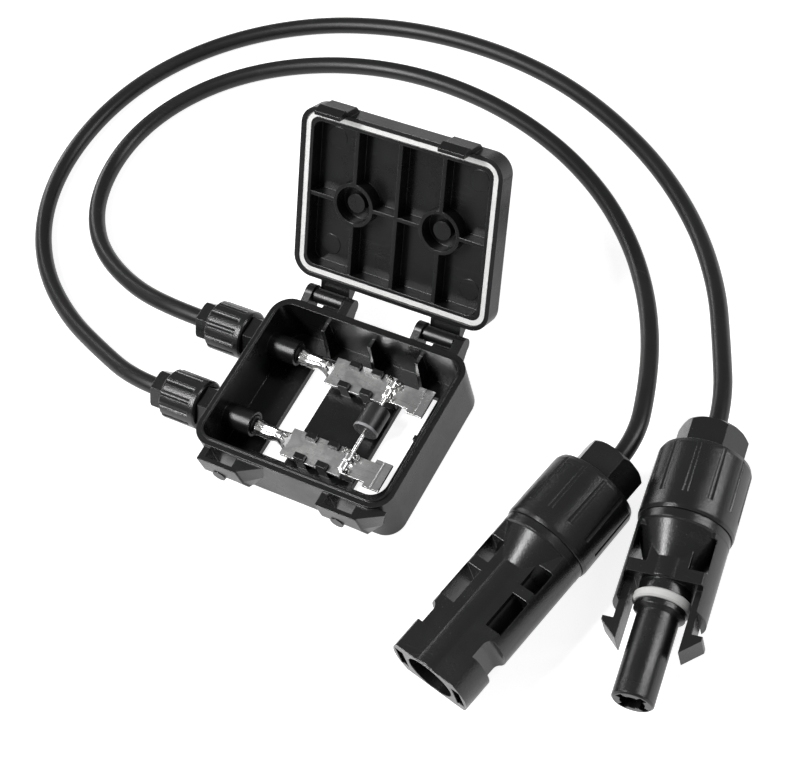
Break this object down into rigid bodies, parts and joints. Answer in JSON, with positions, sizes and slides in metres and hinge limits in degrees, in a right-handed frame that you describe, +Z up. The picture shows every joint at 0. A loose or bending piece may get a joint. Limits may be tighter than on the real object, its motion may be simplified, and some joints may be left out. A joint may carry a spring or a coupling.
{
  "type": "photovoltaic junction box",
  "caption": "Black solar junction box with hinged gasketed lid, terminal strips, bypass diode, two cable leads and plug and socket connectors.",
  "frame": {"origin": "centre of the case's underside, the face that is bonded to a panel", "axes": "+Z up out of the open case, +X along the hinge away from the cable entries, +Y from the latches to the hinge"},
  "size_m": [0.27, 0.2116, 0.0685],
  "materials": {
    "black_plastic": "satin moulded",
    "connector_plastic": "satin moulded",
    "white_gasket": "matt foam",
    "tinned_metal": "tinned",
    "diode_resin": "satin resin",
    "cable_jacket": "matt",
    "black_rubber": "matt",
    "grey_rubber": "matt"
  },
  "bodies": {
    "box": {"case": "black_plastic", "gland_cage_rear": "black_plastic", "gland_cage_front": "black_plastic", "socket_housing": "connector_plastic", "socket_cage": "connector_plastic", "plug_housing": "connector_plastic", "plug_cage": "connector_plastic", "terminal_rear": "tinned_metal", "terminal_front": "tinned_metal", "diode_lead_rear": "tinned_metal", "diode_lead_front": "tinned_metal", "conductor_rear": "tinned_metal", "conductor_front": "tinned_metal", "socket_contact": "tinned_metal", "plug_contact": "tinned_metal", "diode_body": "diode_resin", "cable_rear": "cable_jacket", "cable_front": "cable_jacket", "cable_end_rear": "cable_jacket", "cable_end_front": "cable_jacket", "socket_cable_end": "cable_jacket", "plug_cable_end": "cable_jacket", "gland_bush_rear": "black_rubber", "gland_bush_front": "black_rubber", "socket_bush": "black_rubber", "plug_bush": "black_rubber", "plug_seal_ring": "grey_rubber"},
    "lid": {"lid": "black_plastic", "lid_gasket": "white_gasket"},
    "gland_nut_rear": {"gland_nut_rear": "black_plastic"},
    "gland_nut_front": {"gland_nut_front": "black_plastic"},
    "socket_nut": {"socket_nut": "connector_plastic"},
    "plug_nut": {"plug_nut": "connector_plastic"}
  },
  "joints": [
    {"name": "lid_hinge", "type": "hinge", "parent": "box", "child": "lid", "pos_m": [0, 0.03115, 0.01585], "axis": [1, 0, 0], "range_deg": [0, 122]},
    {"name": "rear_gland_nut_turn", "type": "hinge", "parent": "box", "child": "gland_nut_rear", "pos_m": [-0.045, 0.0143, 0.009], "axis": [-1, 0, 0], "continuous": true},
    {"name": "front_gland_nut_turn", "type": "hinge", "parent": "box", "child": "gland_nut_front", "pos_m": [-0.045, -0.0119, 0.009], "axis": [-1, 0, 0], "continuous": true},
    {"name": "socket_nut_turn", "type": "hinge", "parent": "box", "child": "socket_nut", "pos_m": [0.0834, 0.013, 0.0132], "axis": [-0.2164, -0.9763, 0], "continuous": true},
    {"name": "plug_nut_turn", "type": "hinge", "parent": "box", "child": "plug_nut", "pos_m": [0.1041, 0.036, 0.0132], "axis": [0.165, -0.9863, 0], "continuous": true}
  ]
}
